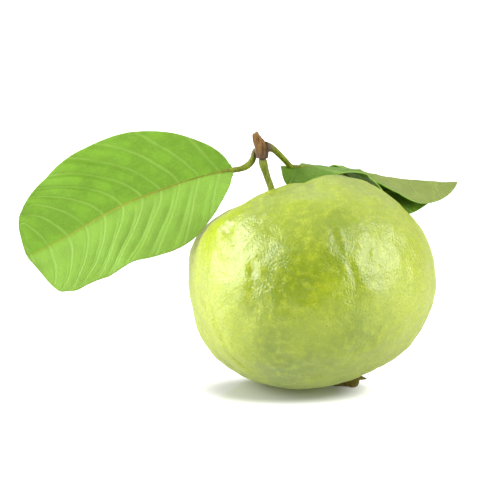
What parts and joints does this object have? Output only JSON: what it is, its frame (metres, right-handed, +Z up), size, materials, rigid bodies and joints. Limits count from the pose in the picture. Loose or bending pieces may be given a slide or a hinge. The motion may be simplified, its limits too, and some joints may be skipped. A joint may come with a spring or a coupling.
{
  "type": "guava",
  "caption": "Round pale green guava resting on its blossom end, with a dried calyx, a stalk on a torn woody twig, an open ribbed leaf and a folded leaf.",
  "frame": {"origin": "centre of the small flat spot that the fruit rests on", "axes": "+Z up through the fruit, the open leaf points towards -X, and the side seen in the picture faces -Y"},
  "size_m": [0.1807, 0.1107, 0.1011],
  "materials": {
    "guava_skin": "waxy pale green guava skin",
    "dried_calyx": "matte dried brown sepals",
    "green_stalk": "satin green stalk",
    "twig_bark": "matte streaked brown bark",
    "leaf_left_blade": "satin fresh green leaf",
    "leaf_right_blade": "satin dark green leaf with a paler underside"
  },
  "bodies": {
    "root": {"fruit": "guava_skin", "calyx": "dried_calyx", "fruit_stalk": "green_stalk", "twig": "twig_bark", "leaf_left": "leaf_left_blade", "leaf_right": "leaf_right_blade"}
  },
  "joints": []
}
